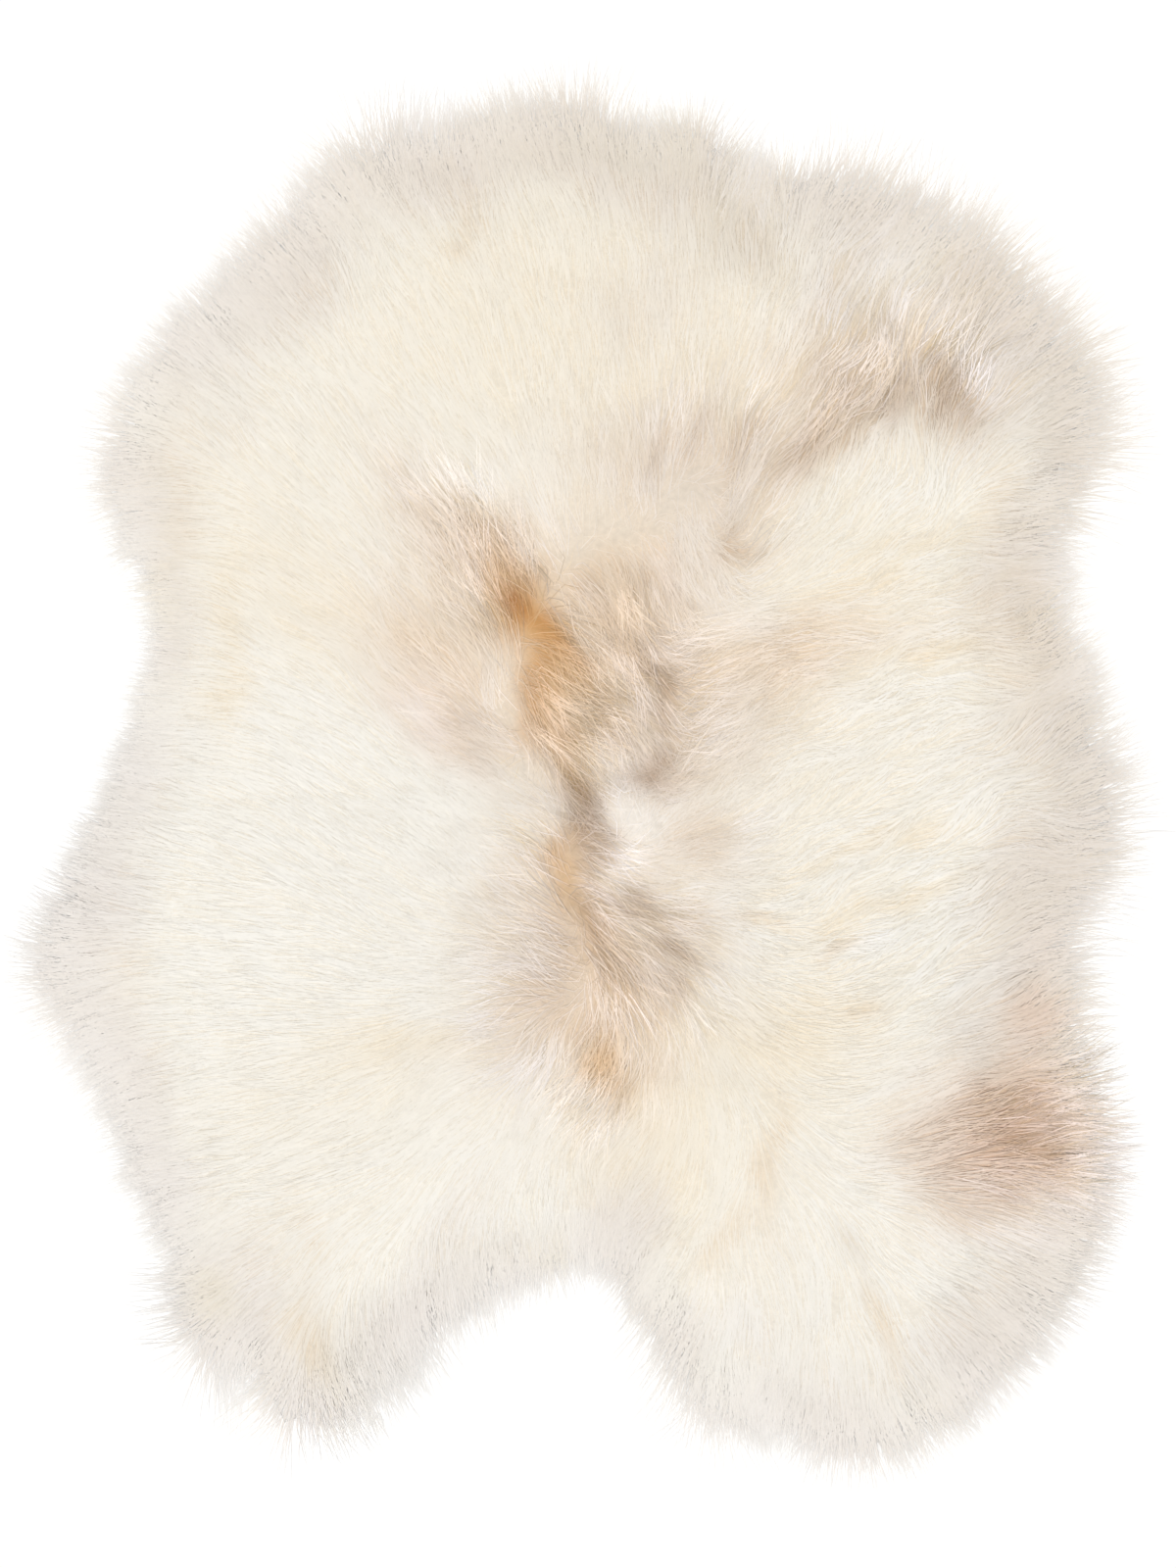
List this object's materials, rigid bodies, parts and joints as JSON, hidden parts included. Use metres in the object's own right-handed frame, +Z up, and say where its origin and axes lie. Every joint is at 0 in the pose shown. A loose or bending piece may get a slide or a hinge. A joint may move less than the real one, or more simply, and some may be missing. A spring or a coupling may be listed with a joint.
{
  "type": "sheepskin rug",
  "caption": "Whole sheepskin rug lying flat: a thin tanned skin in the animal's outline under long combed cream wool with tan markings.",
  "frame": {"origin": "on the floor, at the middle of the rug's box seen from above", "axes": "+Z up out of the wool, +Y towards the neck end, +X towards the right side seen from above"},
  "size_m": [0.8346, 1.0488, 0.0442],
  "materials": {
    "hide": "matt suede",
    "wool": "soft long wool pile"
  },
  "bodies": {
    "root": {"hide": "hide", "fleece": "wool"}
  },
  "joints": []
}
